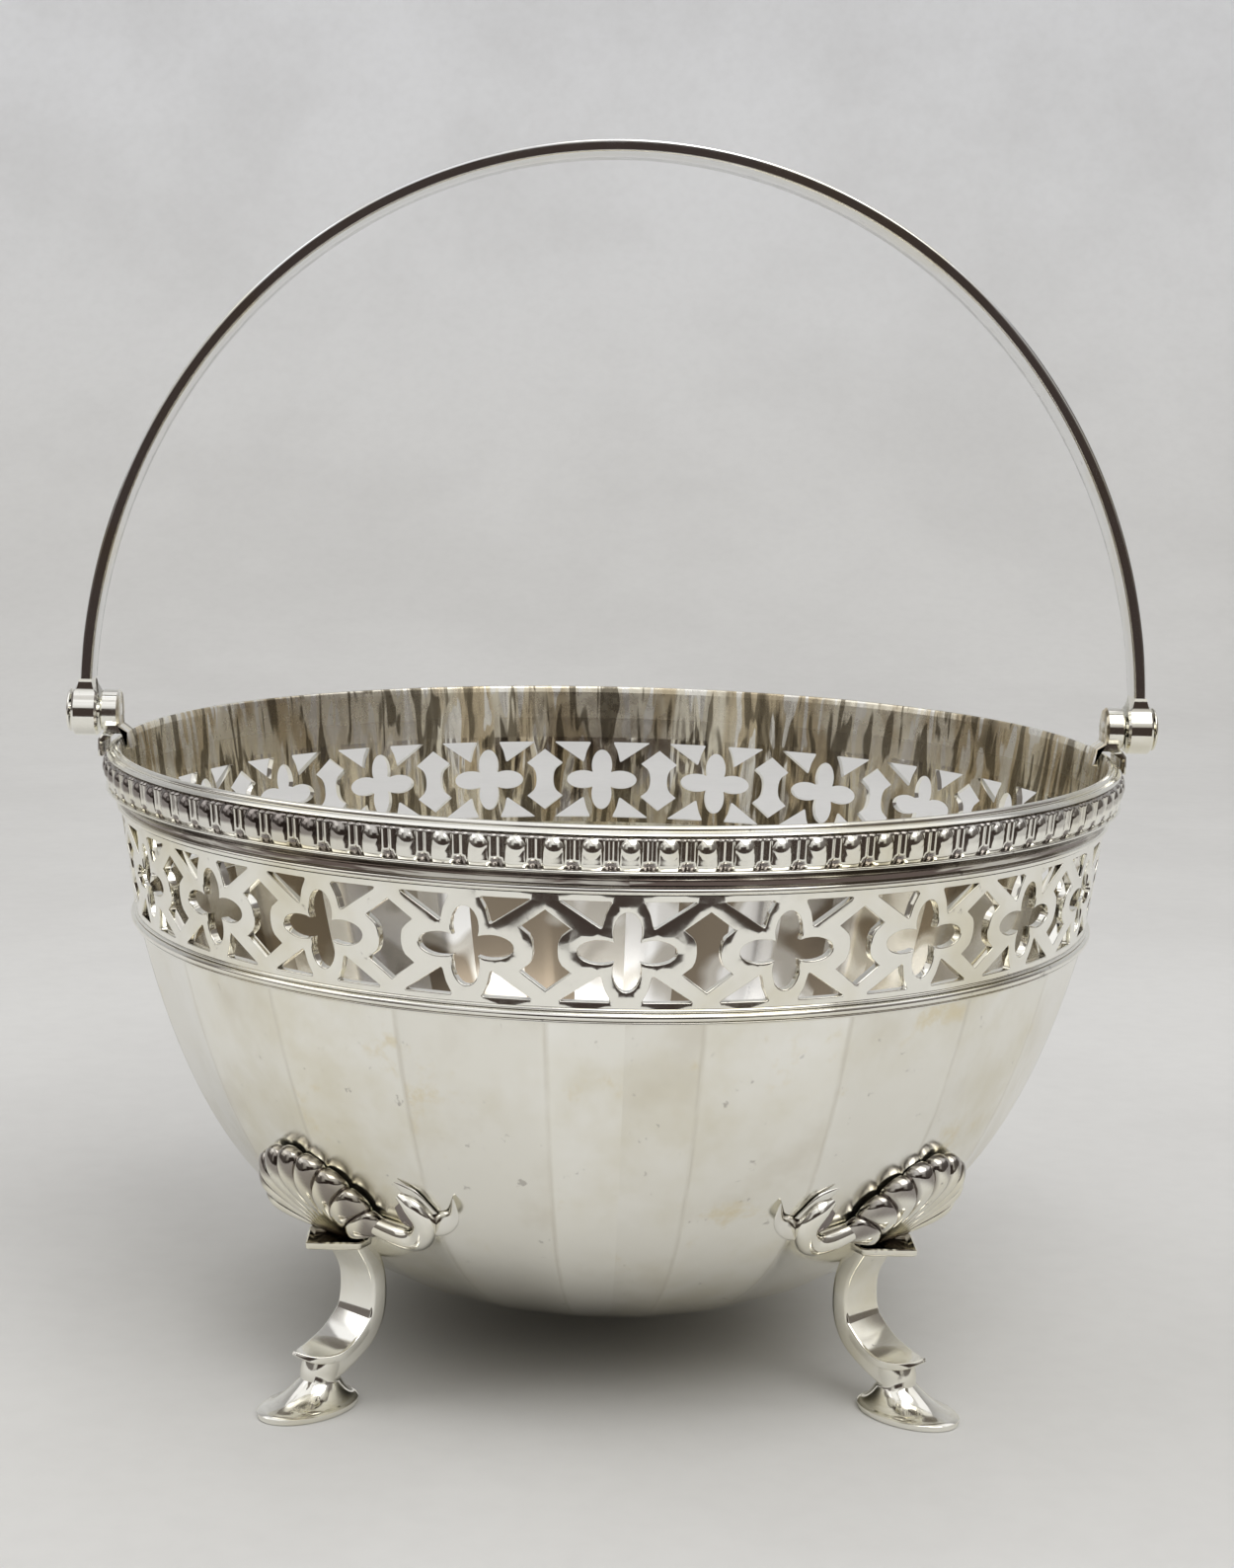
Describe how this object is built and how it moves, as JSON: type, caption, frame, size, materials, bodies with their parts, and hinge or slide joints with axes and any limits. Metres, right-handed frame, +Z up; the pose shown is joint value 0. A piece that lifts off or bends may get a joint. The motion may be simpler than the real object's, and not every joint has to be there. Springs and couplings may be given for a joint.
{
  "type": "swing-handled candy bowl",
  "caption": "Small round metal basket: panelled bowl, pierced quatrefoil band under a beaded border, cast shell feet and a flat swing handle.",
  "frame": {"origin": "on the table under the centre of the bowl", "axes": "+Z up, -Y towards the viewer of the picture, +X along the hinge axis of the handle, to the right"},
  "size_m": [0.1388, 0.1283, 0.1496],
  "materials": {
    "silver_sheet": "polished silver sheet",
    "silver_cast": "polished silver casting"
  },
  "bodies": {
    "basket": {"bowl_shell": "silver_sheet", "waist_wire": "silver_sheet", "pierced_band": "silver_sheet", "rim_moulding": "silver_sheet", "gadroon_border": "silver_cast", "rim_lip": "silver_sheet", "left_hinge_lug": "silver_cast", "right_hinge_lug": "silver_cast", "left_hinge_pin": "silver_sheet", "right_hinge_pin": "silver_sheet", "front_left_foot": "silver_cast", "front_right_foot": "silver_cast", "rear_left_foot": "silver_cast", "rear_right_foot": "silver_cast"},
    "handle": {"handle_strap": "silver_sheet", "left_handle_knuckle": "silver_cast", "right_handle_knuckle": "silver_cast"}
  },
  "joints": [
    {"name": "handle_swing", "type": "hinge", "parent": "basket", "child": "handle", "pos_m": [0, 0, 0.078], "axis": [1, 0, 0], "range_deg": [-126, 126]}
  ]
}
